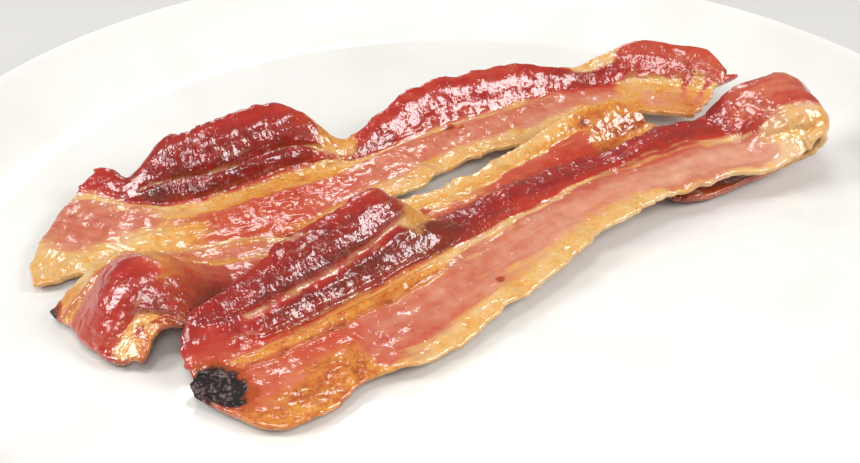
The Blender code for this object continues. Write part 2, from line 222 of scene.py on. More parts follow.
middleStrip = {
    "node": "strip_middle", "slot": "bacon_middle", "rows": 400, "columns": 96, "seed": 8,
    "start": (-79.0, -45.0, 1.0), "length": 172.0,
    "heading": ((0, 46), (35, 44), (47, 20), (59, 2), (72, 10), (92, 30), (127, 42)),
    "pitch": ((0, 56), (10, 52), (18, 30), (24, -5), (30, -45), (38, -50), (45, -12), (54, 3), (150, 1.5),
        (161, 12), (171, 16)),
    "back": ((0, 16.5), (10, 21), (24, 19.5), (34, 14), (47, 13.5), (59, 12), (75, 13.5), (90, 17.5),
        (100, 17.3), (110, 15.6), (120, 15.9), (130, 17), (140, 16.4), (152, 16.2), (162, 15), (172, 11)),
    "backRise": ((0, 0), (10, -28), (24, -30), (36, -18), (50, 10), (90, 12), (142, 15), (157, 44),
        (171, 42)),
    "backCurl": 0.5, "frontCurl": 0.5,
    "front": ((0, 14), (5, 12.5), (11, 11.5), (16, 15.5), (19, 18), (24, 16), (36, 12), (57, 12), (127, 12),
        (141, 8)),
    "frontRise": ((0, 0), (10, -34), (34, -40), (48, -8), (171, -5)),
    "left": ((-1, 4), (-0.5, 0), (0, 0), (0.5, 1), (1, 0.5)),
    "right": ((-1, 4), (-0.4, 1), (0.5, 0), (1, 4)),
    "ripple": 0.4,
    "fat": (
        (-1, ((0, 0.2), (4, 0.9), (13, 0.9), (17, 0.1), (28, 0.1), (60, 0.4), (171, 0.6))),
        (-0.7, ((0, 0.3), (4, 0.95), (14, 0.95), (18, 0.1), (25, 0.1), (30, 0.2), (50, 0.2), (171, 0.3))),
        (-0.4, ((0, 0.1), (4, 0.4), (12, 0.3), (17, 0.1), (24, 0.3), (30, 0.4), (36, 0.1), (171, 0))),
        (0, ((0, 0), (21, 0.1), (26, 0.6), (32, 0.4), (38, 0.1), (154, 0.1), (158, 0.9))),
        (0.3, ((20, 0), (25, 0.7), (33, 0.5), (40, 0.15), (60, 0.1), (153, 0.1), (157, 1), (171, 0.9))),
        (0.6, ((12, 0.5), (19, 0.1), (25, 0.6), (33, 0.7), (40, 0.4), (60, 0.1), (95, 0.6), (112, 0.5),
            (125, 0.2), (153, 0.2), (157, 1), (171, 0.9))),
        (0.7, ((20, 0.4), (28, 0.6), (34, 0.3), (60, 0.3), (90, 0.7), (150, 1), (171, 0.9))),
        (0.8, ((0, 1), (28, 0.9), (34, 0.5), (50, 0.4), (90, 0.9), (150, 1), (171, 0.9))),
        (1, ((30, 1), (40, 0.8), (60, 0.7), (90, 1))),
    ),
    # where the strip runs down off the bulb, 34 to 60 mm along, the lean is darker from the front edge to
    # the middle: partly its own deeper red, partly painted shade in the crease there
    "dark": (
        (-1, ((0, 0.5), (15, 0.72), (25, 0.7), (40, 0.75), (171, 0.6))),
        (-0.55, ((0, 0.55), (8, 0.5), (16, 0.7), (26, 0.62), (34, 0.68), (45, 0.78), (60, 0.7),
            (171, 0.6))),
        (-0.15, ((0, 0.42), (10, 0.5), (18, 0.58), (26, 0.44), (36, 0.5), (50, 0.5), (98, 0.7))),
        (0.2, ((0, 0.36), (8, 0.44), (17, 0.56), (24, 0.4), (34, 0.42), (48, 0.4), (60, 0.34), (98, 0.6),
            (150, 0.62), (171, 0.45))),
        (0.5, ((0, 0.3), (10, 0.38), (17, 0.48), (24, 0.34), (34, 0.3), (45, 0.26), (60, 0.25), (98, 0.36),
            (150, 0.4))),
        (1, ((0, 0.34), (20, 0.4), (60, 0.25), (171, 0.3))),
    ),
    "gold": (
        (-1, ((0, 0.65), (16, 0.6), (30, 0.4))),
        (-0.4, ((0, 0.1), (12, 0.2), (20, 0.15), (26, 0.5), (36, 0.5), (50, 0.3), (171, 0.4))),
        (0.3, ((0, 0), (20, 0.04), (27, 0.5), (36, 0.45), (50, 0.25), (100, 0.3), (152, 0.4),
            (157, 0.72))),
        (0.76, ((0, 0.4), (20, 0.36), (28, 0.45), (60, 0.36), (100, 0.3), (150, 0.34), (157, 0.66),
            (171, 0.62))),
        (1, ((0, 0.85), (3, 0.45), (8, 0.34), (30, 0.4), (60, 0.36), (100, 0.26), (150, 0.26), (158, 0.45),
            (171, 0.5))),
    ),
    "burnt": ((0, 0.93, 2.6, 0.13, 0.8), (0.5, -0.9, 2.5, 0.2, 0.45), (17, -0.95, 2.4, 0.12, 0.5),
              (9, -0.72, 1.4, 0.07, 0.35), (14, -0.82, 1.2, 0.06, 0.4), (100, 0.62, 1.2, 0.08, 0.3)),
    "lines": (
        (((0, 0.6), (12, 0.62), (22, 0.72)), 1.3, 0.9, 0.1, 0.2, 0),
        (((2, -0.42), (12, -0.5), (18, -0.75)), 1.4, 0.8, 0, 0.2, 0),
        (((30, 0.5), (42, 0.42), (56, 0.5)), 0.9, 0.45, 0.5, 0.2, 0),
        (((95, 0.72), (130, 0.74), (156, 0.7)), 1.3, 0.5, 0.5, 0.15, 0),
    ),
    "groove": ((-1, ((0, 0.1),)), (1, ((0, 0.1),))),
}

frontStrip = {
    "node": "strip_front", "slot": "bacon_front", "rows": 500, "columns": 92, "seed": 5,
    "start": (-56.0, -58.0, 3.6), "length": 236.0,
    "heading": ((0, 24), (25, 36), (60, 42), (90, 40), (120, 28), (150, 24), (160, 19), (170, 12),
        (182, 12), (194, 18), (236, 25)),
    "pitch": ((0, 2), (60, 3), (130, 2), (153, 3), (159, 28), (164, 48), (169, 34), (175, 6), (181, -40),
        (186, -95), (191, -138), (197, -160), (205, -166), (215, -178), (236, -180)),
    "back": ((0, 11), (12, 16), (25, 20), (38, 22.5), (50, 25), (61, 25), (67, 19), (73, 12), (120, 12),
        (150, 13.5), (162, 14), (192, 13), (204, 9), (213, 5), (222, 3.5)),
    "backRise": ((0, 8), (14, 34), (25, 51), (40, 56), (50, 62), (61, 60), (68, 35), (75, 12), (120, 5),
        (153, 5), (160, 34), (167, 34), (174, 10), (182, 0)),
    "backCurl": 0.9, "frontCurl": 0.5,
    "front": ((0, 9), (10, 20.5), (15, 21), (20, 21.5), (26, 19.5), (31, 18.5), (36, 20), (42, 22),
        (48, 21.8), (54, 20), (62, 20.4), (70, 19.6), (78, 19.2), (85, 17.8), (95, 15.5), (103, 14.2),
        (112, 13), (120, 11.4), (128, 10), (140, 10.4), (150, 10.8), (160, 11.5), (168, 13), (177, 12),
        (184, 9), (191, 5.5), (198, 3), (205, 3), (216, 4.5), (224, 6)),
    "frontRise": ((152, -10), (160, -26), (166, -58), (172, -72), (180, -56), (188, -26), (198, -5),
        (236, 0)),
    "left": ((-1, 8), (-0.8, 3), (-0.5, 0), (0, 1), (0.7, 1), (1, 5)),
    "right": ((-1, 5), (-0.6, 1), (0, 0), (0.6, 2), (1, 6)),
    "ripple": 0.6,
    "fat": (
        (-1, ((33, 1), (37, 0.5), (45, 0.9), (125, 1), (135, 0.6), (165, 0.8), (205, 0.8), (210, 0.1),
            (236, 0))),
        (-0.85, ((0, 0.9), (20, 1), (33, 0.9), (37, 0.2), (42, 0.5), (60, 0.8), (125, 0.95), (130, 0.4),
            (155, 0.4), (165, 1), (204, 1), (208, 0.1), (236, 0))),
        (-0.7, ((0, 0.6), (10, 0.4), (16, 0.8), (33, 0.9), (37, 0.15), (60, 0.2), (80, 0.5), (120, 0.6),
            (126, 0.2), (158, 0.1), (164, 0.8), (204, 0.9), (208, 0.1), (236, 0))),
        (-0.5, ((0, 0.3), (12, 0.2), (18, 0.3), (24, 0.6), (33, 0.6), (36, 0.1), (160, 0.05), (164, 0.7),
            (204, 0.9), (208, 0.1), (236, 0))),
        (-0.3, ((0, 0.1), (10, 0.2), (18, 0.1), (32, 0.2), (50, 0.15), (158, 0.05), (164, 0.6), (204, 0.9),
            (208, 0.1), (236, 0))),
        (-0.12, ((0, 0.1), (10, 0.25), (30, 0.3), (62, 0.55), (68, 0.3), (100, 0.1), (150, 0), (158, 0.2),
            (165, 0.5), (204, 0.8), (208, 0.2), (236, 0))),
        (0, ((0, 0.2), (9, 0.6), (14, 0.9), (62, 0.95), (70, 0.7), (98, 0.6), (108, 0.2), (145, 0.1),
            (155, 0.5), (160, 0.6), (163, 0.2), (178, 0.3), (184, 0.8), (204, 0.8), (208, 0.2), (236, 0))),
        (0.1, ((0, 0.1), (8, 0.2), (12, 0.35), (60, 0.5), (66, 0.35), (95, 0.2), (102, 0.45), (110, 0.35),
            (120, 0.2), (140, 0.2), (150, 0.5), (158, 0.4), (163, 0.1), (180, 0.2), (186, 0.6), (204, 0.6),
            (236, 0))),
        (0.22, ((60, 0.1), (98, 0), (106, 0.4), (125, 0.4), (145, 0.34), (156, 0.2), (163, 0.1),
            (236, 0))),
        (0.35, ((0, 0), (60, 0.1), (66, 0.3), (70, 0), (106, 0), (114, 0.12), (122, 0.2), (140, 0.2),
            (149, 0.2), (156, 0.1), (236, 0))),
        (0.5, ((0, 0), (60, 0.1), (65, 0.5), (71, 0))),
        (0.65, ((0, 0), (60, 0.1), (64, 0.6), (69, 0.4), (73, 0))),
        (0.85, ((0, 0), (61, 0.2), (65, 0.7), (71, 0.5), (75, 0), (236, 0.1))),
        (1, ((0, 0.1), (60, 0.2), (63, 0.7), (72, 0.7), (78, 0.1), (160, 0), (176, 0.2), (236, 0.3))),
    ),
    # from 205 mm on, the strip runs back under its roll; there the lean is darker and the fat browner,
    # partly the browned pan side turned up, partly painted shade under the roll
    "dark": (
        (-1, ((0, 0.3), (40, 0.35), (100, 0.25), (126, 0.4), (150, 0.35), (180, 0.2), (200, 0.5),
            (210, 0.74), (236, 0.8))),
        (-0.6, ((40, 0.3), (60, 0.24), (90, 0.16), (130, 0.1), (150, 0.12), (180, 0.12), (200, 0.4),
            (210, 0.74), (236, 0.8))),
        (-0.25, ((0, 0.32), (15, 0.36), (22, 0.42), (33, 0.44), (38, 0.3), (60, 0.25), (100, 0.16),
            (150, 0.1), (165, 0.2), (200, 0.3), (210, 0.8), (236, 0.9))),
        (0, ((0, 0.35), (20, 0.38), (60, 0.3), (95, 0.35), (150, 0.22), (162, 0.5), (170, 0.28), (205, 0.6),
            (236, 0.8))),
        (0.15, ((0, 0.42), (10, 0.4), (20, 0.55), (30, 0.66), (60, 0.66), (70, 0.8), (80, 0.62), (95, 0.55),
            (110, 0.34), (153, 0.4), (161, 0.65), (168, 0.38), (205, 0.6), (236, 0.8))),
        (0.35, ((0, 0.48), (10, 0.44), (18, 0.6), (25, 0.76), (60, 0.78), (68, 0.86), (76, 0.72), (90, 0.6),
            (110, 0.55), (157, 0.62), (165, 0.34), (205, 0.6), (236, 0.8))),
        (0.55, ((0, 0.62), (10, 0.46), (18, 0.66), (25, 0.8), (60, 0.78), (68, 0.88), (76, 0.74),
            (90, 0.64), (140, 0.62), (157, 0.64), (163, 0.36), (175, 0.3), (236, 0.8))),
        (0.8, ((0, 0.62), (14, 0.7), (20, 0.68), (45, 0.7), (60, 0.64), (72, 0.8), (90, 0.66), (120, 0.62),
            (155, 0.62), (163, 0.38), (175, 0.3), (236, 0.8))),
        (1, ((0, 0.66), (15, 0.68), (22, 0.56), (60, 0.5), (75, 0.7), (90, 0.62), (110, 0.58), (150, 0.62),
            (158, 0.66), (163, 0.4), (175, 0.32), (190, 0.4), (205, 0.8), (236, 0.85))),
    ),
    "gold": (
        (-1, ((0, 0.62), (30, 0.64), (40, 0.34), (120, 0.3), (165, 0.22), (190, 0.3), (205, 0.6),
            (236, 0.8))),
        (-0.8, ((0, 0.6), (14, 0.68), (33, 0.64), (38, 0.25), (60, 0.3), (120, 0.35), (150, 0.2),
            (165, 0.12), (176, 0.2), (190, 0.3), (236, 0.8))),
        (-0.4, ((0, 0.3), (12, 0.4), (24, 0.62), (33, 0.62), (38, 0.12), (60, 0.15), (100, 0.3), (112, 0.5),
            (125, 0.35), (150, 0.15), (163, 0.2), (180, 0.45), (236, 0.8))),
        (0, ((0, 0.45), (12, 0.5), (60, 0.5), (68, 0.2), (100, 0.12), (236, 0.2))),
        (0.2, ((60, 0.3), (104, 0.28), (140, 0.24), (236, 0.2))),
        (0.5, ((0, 0.1), (60, 0.15), (66, 0.4), (75, 0.1), (236, 0.3))),
        (1, ((58, 0.1), (64, 0.55), (72, 0.55), (80, 0.05), (150, 0.05), (180, 0.3), (236, 0.6))),
    ),
    # the last, wide and weak burn over the end under the roll is partly browning, partly painted shade
    "burnt": ((4.4, -0.34, 4.4, 0.33, 1.25), (71.5, -0.66, 0.9, 0.04, 0.45), (222, -0.6, 9, 0.6, 0.3)),
    "lines": (
        (((18, 0.54), (34, 0.5), (50, 0.5), (64, 0.6), (72, 0.9)), 1.4, 0.9, 0.36, 0.02, -0.3),
        (((20, 0.2), (40, 0.16), (62, 0.18)), 1, 0.7, 0, 0, 0),
        (((12, -0.02), (40, 0), (66, -0.02), (98, -0.02)), 0.8, -0.5, 0.2, 0.1, 0),
        (((10, -0.14), (40, -0.1), (64, -0.12)), 0.9, 0.5, 0.2, 0.25, 0),
        (((66, 0.05), (90, 0.03), (104, 0.14), (124, 0.38), (142, 0.38),
         (158, 0.05)), 0.9, 0.35, 0.25, 0, 0),
        (((30, -0.95), (36, -0.5), (35, -0.2)), 1.4, 0.5, 0, 0.1, 0),
        (((164, 0.6), (170, 0.05), (178, -0.1)), 1.2, 0.6, 0.3, 0, 0),
        (((163, -0.3), (170, -0.5), (178, -0.6)), 1.2, 0.6, 0, 0.1, 0),
    ),
    "groove": (
        (-1, ((0, 0),)), (0.05, ((0, 0),)),
        (0.2, ((0, 0.2), (16, 0.8), (62, 0.8), (74, 0.2))),
        (1, ((0, 0.5), (16, 1), (62, 1), (74, 0.3), (160, 0.2))),
    ),
}


def longLine(strip, at):
    # its points, and the directions across and up from it
    heading = np.radians(keyed(strip["heading"], at))
    pitch = np.radians(keyed(strip["pitch"], at))
    forward = np.stack([np.cos(pitch) * np.cos(heading), np.cos(pitch) * np.sin(heading), np.sin(pitch)], 1)
    middle = (forward[1:] + forward[:-1]) / 2.0
    travel = np.vstack([np.zeros(3), np.cumsum(middle * stepAlong, 0)])
    across = np.stack([-np.sin(heading), np.cos(heading), 0.0 * heading], 1)
    return np.array(strip["start"]) + travel, across, np.cross(forward, across)


def sideProfile(width, rise, curl, shares):
    # one side of the cross-section: it lifts off the fat line and curls over
    count = 24
    f = (np.arange(count) + 0.5) / count
    bend = ease(0.0, 0.35, f) - curl * ease(0.62, 1.0, f)
    angle = rise[:, None] * bend[None, :]
    run = np.hstack([0.0 * width[:, None], np.cumsum(np.cos(angle) * width[:, None] / count, 1)])
    lift = np.hstack([0.0 * width[:, None], np.cumsum(np.sin(angle) * width[:, None] / count, 1)])
    grid = np.linspace(0.0, 1.0, count + 1)
    return (np.array([np.interp(shares, grid, row) for row in run]),
            np.array([np.interp(shares, grid, row) for row in lift]))


def trimmed(keys, share, seed):
    # how much an end is cut back at every share; the fine grid gets a rounder, ragged outline
    cut = np.interp(share, *zip(*keys))
    if len(share) <= cadColumns + 1:
        return cut
    cut = np.convolve(np.pad(cut, 3, "reflect", reflect_type="odd"), window(3), "valid")
    return np.maximum(cut + 0.8 * layered(share * 6.0, 0.0 * share, seed), 0.0)


def stripSheet(strip, rows, columns):
    # middle surface of a strip, and how far along it and across it every point lies, in mm
    at = np.arange(0.0, strip["length"] + stepAlong / 2, stepAlong)
    spine, across, up = longLine(strip, at)
    seed = strip["seed"]
    share = np.linspace(-1.0, 1.0, columns + 1)
    frontShare, backShare = -share[share < -1e-9], share[share >= -1e-9]
    wideBack = keyed(strip["back"], at) * (1.0 + 0.03 * waves(at, seed))
    wideFront = keyed(strip["front"], at) * (1.0 + 0.04 * waves(at, seed + 4))
    riseBack = np.radians(keyed(strip["backRise"], at))
    riseFront = np.radians(keyed(strip["frontRise"], at))
    backOut, backUp = sideProfile(wideBack, riseBack, strip["backCurl"], backShare)
    frontOut, frontUp = sideProfile(wideFront, riseFront, strip["frontCurl"], frontShare)
    out = np.hstack([-frontOut, backOut])
    lift = np.hstack([frontUp, backUp])
    lift = lift + strip["ripple"] * np.abs(share)[None, :] ** 2 * (
        waves(at, seed + 9, 26.0)[:, None] * (share < 0)[None, :]
        + 0.7 * waves(at, seed + 13, 30.0)[:, None] * (share > 0)[None, :])
    body = spine[:, None, :] + out[:, :, None] * across[:, None, :] + lift[:, :, None] * up[:, None, :]
    begin = trimmed(strip["left"], share, seed + 40)
    stop = at[-1] - trimmed(strip["right"], share, seed + 50)
    part = np.linspace(0.0, 1.0, rows + 1)
    sheet = np.zeros((rows + 1, columns + 1, 3))
    along = np.clip(begin[None, :] + (stop - begin)[None, :] * part[:, None], 0.0, at[-1])
    for j in range(columns + 1):
        for axis in range(3):
            sheet[:, j, axis] = np.interp(along[:, j], at, body[:, j, axis])
    lowest = gap + sliceThick / 2.0
    soft = 0.6   # how gently the strip flattens out on the plate
    sheet[:, :, 2] = lowest + soft * np.log1p(np.exp((sheet[:, :, 2] - lowest) / soft))
    width = np.where(share[None, :] > 0, np.interp(along, at, wideBack), np.interp(along, at, wideFront))
    return sheet, along, share[None, :] * width


def outward(sheet):
    # unit normals of a grid of points
    normal = np.cross(np.gradient(sheet, axis=0), np.gradient(sheet, axis=1))
    return normal / np.linalg.norm(normal, axis=2, keepdims=True)


def cadThickness(rows, columns):
    share = np.abs(np.linspace(-1.0, 1.0, columns + 1))[None, :]
    part = np.abs(np.linspace(-1.0, 1.0, rows + 1))[:, None]
    near = np.maximum(share ** 8, part ** 60)
    return sliceThick * (edgeShare + (1.0 - edgeShare) * np.sqrt(1.0 - near))


def cadFaces(sheet):
    half = outward(sheet) * cadThickness(sheet.shape[0] - 1, sheet.shape[1] - 1)[:, :, None] / 2.0
    return sheet + half, sheet - half


def spread(grid, fine=6):
    # points evenly over the faces of a grid
    found = []
    for a in np.linspace(0.0, 1.0, fine):
        for b in np.linspace(0.0, 1.0, fine):
            found.append(grid[:-1, :-1] * (1 - a) * (1 - b) + grid[1:, :-1] * a * (1 - b)
                         + grid[:-1, 1:] * (1 - a) * b + grid[1:, 1:] * a * b)
    return np.stack(found)


def coverMap(faces, cell=1.0):
    # highest bacon over each small square of the plate
    side = int(2 * mapReach / cell) + 1
    top = np.full((side, side), -99.0)
    for points in faces:
        cells = np.rint((points[:, :2] + mapReach) / cell).astype(int)
        np.maximum.at(top, (cells[:, 0], cells[:, 1]), points[:, 2])
    wide = top.copy()
    for dx in (-1, 0, 1):
        for dy in (-1, 0, 1):
            wide = np.maximum(wide, np.roll(top, (dx, dy), (0, 1)))
    return wide


def soften(field):
    # the mean of every point and its four neighbours
    padded = np.pad(field, 1, "edge")
    return (padded[2:, 1:-1] + padded[:-2, 1:-1] + padded[1:-1, 2:] + padded[1:-1, :-2] + field) / 5.0


def layOver(sheet, below):
    # lift a strip until it lies clear on the strips underneath it
    top = coverMap([spread(face).reshape(-1, 3) for other in below for face in cadFaces(other)])
    for _ in range(4):
        points = spread(cadFaces(sheet)[1])
        cells = np.rint(points[..., :2]).astype(int) + mapReach
        need = np.maximum((top[cells[..., 0], cells[..., 1]] + gap - points[..., 2]).max(axis=0), 0.0)
        wanted = np.zeros(sheet.shape[:2])
        for dx in (0, 1):
            for dy in (0, 1):
                part = wanted[dx:dx + need.shape[0], dy:dy + need.shape[1]]
                np.maximum(part, need, out=part)
        lift = wanted.copy()
        for _ in range(6):
            lift = np.maximum(soften(lift), wanted)
        for _ in range(2):
            lift = soften(lift)
        sheet = sheet.copy()
        sheet[:, :, 2] += lift
    return sheet


def settledLifts(strips):
    # how much each strip is lifted to lie over the ones before it, on the coarse grid
    sheets, lifts = [], []
    for strip in strips:
        rows = int(round(strip["length"] / cadCell))
        bare = stripSheet(strip, rows, cadColumns)[0]
        sheet = layOver(bare, sheets) if sheets else bare
        sheets.append(sheet)
        lifts.append(sheet[:, :, 2] - bare[:, :, 2])
    return lifts


def finer(field, rows, columns):
    # the coarse lift read at every row and column of the fine grid
    u = np.linspace(0.0, field.shape[0] - 1.0, rows + 1)
    v = np.linspace(0.0, field.shape[1] - 1.0, columns + 1)
    wide = np.array([np.interp(u, np.arange(field.shape[0]), line) for line in field.T]).T
    full = np.array([np.interp(v, np.arange(field.shape[1]), line) for line in wide])
    return blurred(full, 7)


def lineAmount(path, wide, along, share, across):
    # 1 on the line, falling to 0 beside it and past its ends
    steps = np.array(path, float)
    nearest = np.full(along.shape, 1e9)
    width = np.where(np.abs(share) > 0.02, np.abs(across) / np.maximum(np.abs(share), 0.02), 18.0)
    for (s0, t0), (s1, t1) in zip(steps[:-1], steps[1:]):
        dx, dy = s1 - s0, (t1 - t0) * width
        px, py = along - s0, (share - t0) * width
        part = np.clip((px * dx + py * dy) / (dx * dx + dy * dy + 1e-9), 0.0, 1.0)
        nearest = np.minimum(nearest, np.hypot(px - part * dx, py - part * dy))
    return ease(1.0, 0.0, nearest / (1.6 * wide))


# relief of the skin in mm
skin = {
    "leanUp": 0.26,      # how far the lean stands over the fat
    "lumps": 0.4,
    "puckerFat": 0.05, "puckerLean": 0.07,
    "pits": 0.12,
    "ridges": 0.42,
    "blisters": 0.14,
    "charDown": 0.35, "charRough": 0.25,
    "veins": 0.28,       # share of fat that the thin veins add
}


def stripFields(strip, along, share, across):
    # fat, darkness, gold, char and the height of the surface at every point of a strip
    seed = strip["seed"] * 100
    bentAlong = along + 2.2 * layered(along / 7.0, across / 7.0, seed + 1)
    bentShare = share + 0.045 * layered(along / 6.0, across / 5.0, seed + 2)
    fat = chart(strip["fat"], bentAlong, bentShare)
    dark = chart(strip["dark"], bentAlong, bentShare)
    gold = chart(strip["gold"], bentAlong, bentShare)
    groove = chart(strip["groove"], along, share)
    height = 0.0 * fat
    for path, wide, deep, moreFat, moreGold, moreDark in strip["lines"]:
        amount = lineAmount(path, wide, bentAlong, share + 0.5 * (bentShare - share), across)
        fat = fat + moreFat * amount
        gold = gold + moreGold * amount
        dark = dark + moreDark * amount
        height = height - deep * amount
    # thin veins of fat drawn out along the lean
    veins = layered(along / 13.0 + 0.15 * across, across / 1.9, seed + 5)
    fat = fat + skin["veins"] * ease(0.25, 0.75, veins) * (1.0 - fat)
    burnt = 0.0 * fat
    for s, t, radiusAlong, radiusShare, strength in strip["burnt"]:
        away = np.hypot((along - s) / radiusAlong, (share - t) / radiusShare)
        away = away + 0.22 * layered(along / 1.6, across / 1.6, seed + 6)
        burnt = np.maximum(burnt, strength * ease(1.9, 0.6, away))
    lean = 1.0 - ease(0.3, 0.7, fat)
    slant = along + 0.45 * across
    pucker = layered(slant / 2.0, (across - 0.3 * along) / 4.0, seed + 10)
    lumps = layered(along / 6.0, across / 5.0, seed + 11)
    pits = layered(along / 2.6, across / 2.4, seed + 12)
    ridges = layered(along / 11.0, across / 2.3, seed + 13)
    blister = 1.0 - 2.0 * np.abs(softNoise(along / 1.7, across / 1.5, seed + 14))
    height = height + skin["leanUp"] * ease(0.2, 0.8, lean) + skin["lumps"] * lumps
    height = height + (skin["puckerLean"] * lean + skin["puckerFat"]) * pucker
    height = height + skin["pits"] * pits * (0.35 + dark)
    height = height + skin["ridges"] * groove * ridges
    height = height + skin["blisters"] * blister * (1.0 - lean)
    height = height - skin["charDown"] * np.minimum(burnt, 1.0) + skin["charRough"] * burnt * pits
    return np.clip(np.stack([fat, dark, gold, burnt], 2), 0, 1), height


# the cut edges, in mm
cutEdge = {
    "ragged": 0.75, "nicks": 0.35, "curl": 0.45,
    "thin": 0.34,        # share of the thickness left at the very edge
    "thinner": 0.25,     # taken off the slice to make room for the relief
}


def fineFaces(strip, lift):
    rows, columns = strip["rows"], strip["columns"]
    seed = strip["seed"] * 100
    sheet, along, across = stripSheet(strip, rows, columns)
    share = np.broadcast_to(np.linspace(-1.0, 1.0, columns + 1)[None, :], along.shape)
    sheet[:, :, 2] += finer(lift, rows, columns)
    fields, height = stripFields(strip, along, share, across)
    normal = outward(sheet)
    sideways = np.gradient(sheet, axis=1)
    sideways = sideways / np.linalg.norm(sideways, axis=2, keepdims=True)
    # ragged edges that also curl a little up and down
    edge = np.abs(share) ** 5
    side = np.sign(share) * 40.0
    ragged = cutEdge["ragged"] * layered(along / 4.5, side, seed + 20)
    ragged = ragged + cutEdge["nicks"] * layered(along / 1.5, side, seed + 21)
    sheet = sheet + (edge * ragged * np.sign(share))[:, :, None] * sideways
    sheet[:, :, 2] += cutEdge["curl"] * edge * (0.6 + layered(along / 5.5, side, seed + 22))
    part = np.abs(np.linspace(-1.0, 1.0, rows + 1))[:, None]
    near = np.maximum(np.abs(share) ** 9, part ** 90)
    thin = cutEdge["thin"]
    thick = (sliceThick - cutEdge["thinner"]) * (thin + (1.0 - thin) * np.sqrt(1.0 - near))
    # the upper face carries the relief, the lower one a faint print of it
    calm = 1.0 - 0.75 * near
    under = 0.3 * layered(along / 5.0, across / 5.0, seed + 30)
    under = under + 0.15 * layered(along / 1.6, across / 3.0, seed + 31)
    upper = sheet + normal * (thick / 2.0 + calm * (height - 0.1))[:, :, None]
    lower = sheet - normal * (thick / 2.0 - 0.35 * calm * height + 0.2 * calm * under)[:, :, None]
    return upper, lower, fields, along, across


def restOn(upper, lower, cover):
    # raises a face wherever it would dip into the strips underneath or into the plate
    for face, room in ((lower, roomUnder), (upper, roomOver)):
        cells = np.rint((face[..., :2] + mapReach) / mapCell).astype(int)
        face[..., 2] = np.maximum(face[..., 2], cover[cells[..., 0], cells[..., 1]] + room)
        face[..., 2] = np.maximum(face[..., 2], 0.05 + room)


def addObject(name, data):
    body = bpy.data.objects.new(name, data)
    bpy.context.scene.collection.objects.link(body)
    return body


def stripObject(strip, upper, lower, fields, along, across):
    # a flat slab bent to the two faces; its x runs along the strip and its y across
    rows, columns = strip["rows"], strip["columns"]
    bm = bmesh.new()
    bmesh.ops.create_grid(bm, x_segments=rows, y_segments=columns, size=1.0)
    grown = bmesh.ops.extrude_face_region(bm, geom=bm.faces[:])
    for part in grown["geom"]:
        if isinstance(part, bmesh.types.BMVert):
            part.co.z = 1.0
    bmesh.ops.recalc_face_normals(bm, faces=bm.faces[:])
    mesh = bpy.data.meshes.new(strip["node"] + "_fried")
    bm.to_mesh(mesh)
    bm.free()
    flat = np.zeros(len(mesh.vertices) * 3)
    mesh.vertices.foreach_get("co", flat)
    flat = flat.reshape(-1, 3)
    i = np.rint((flat[:, 0] + 1.0) / 2.0 * rows).astype(int)
    j = np.rint((flat[:, 1] + 1.0) / 2.0 * columns).astype(int)
    onTop = flat[:, 2] > 0.5
    place = np.where(onTop[:, None], upper[i, j], lower[i, j])
    place[:, 2] += plateTop
    mesh.vertices.foreach_set("co", (place * mm).ravel())
    cut = mesh.color_attributes.new("cut", "FLOAT_COLOR", "POINT")
    cut.data.foreach_set("color", fields[i, j].ravel())
    corner = np.zeros(len(mesh.loops), dtype=np.int32)
    mesh.loops.foreach_get("vertex_index", corner)
    grain = mesh.uv_layers.new(name="grain")   # cm along and across the strip
    grain.data.foreach_set("uv", (np.stack([along[i, j], across[i, j]], 1)[corner] / 10.0).ravel())
    mesh.shade_smooth()
    mesh.update()
    return addObject(strip["node"] + "_fried", mesh)


def linear(hexColour):
    # sRGB hex to the linear colour that a shader works in
    parts = [int(hexColour[k:k + 2], 16) / 255.0 for k in (1, 3, 5)]
    return [c / 12.92 if c <= 0.04045 else ((c + 0.055) / 1.055) ** 2.4 for c in parts] + [1.0]


def addNode(tree, kind, props=None, inputs=None, stops=None):
    # one node with its settings, its input values and the links into it
    node = tree.nodes.new("ShaderNode" + kind)
    for name, value in (props or {}).items():
        setattr(node, name, value)
    for socket, value in (inputs or {}).items():
        if isinstance(value, bpy.types.NodeSocket):
            tree.links.new(value, node.inputs[socket])
        else:
            node.inputs[socket].default_value = value
    if stops:
        ramp = node.color_ramp
        while len(ramp.elements) < len(stops):
            ramp.elements.new(1.0)
        for element, (place, colour) in zip(ramp.elements, stops):
            element.position = place
            element.color = linear(colour)
    return node


# settings that many nodes share
times = {"operation": "MULTIPLY"}
timesPlus = {"operation": "MULTIPLY_ADD"}
softStep = {"interpolation_type": "SMOOTHSTEP"}
mixColour = {"data_type": "RGBA"}


def newMaterial(name, even):
    # even holds the values that are the same all over
    material = bpy.data.materials.new(name)
    material.use_nodes = True
    tree = material.node_tree
    tree.nodes.clear()
    shader = addNode(tree, "BsdfPrincipled", inputs=even)
    addNode(tree, "OutputMaterial", inputs={"Surface": shader.outputs[0]})
    return material, tree, shader


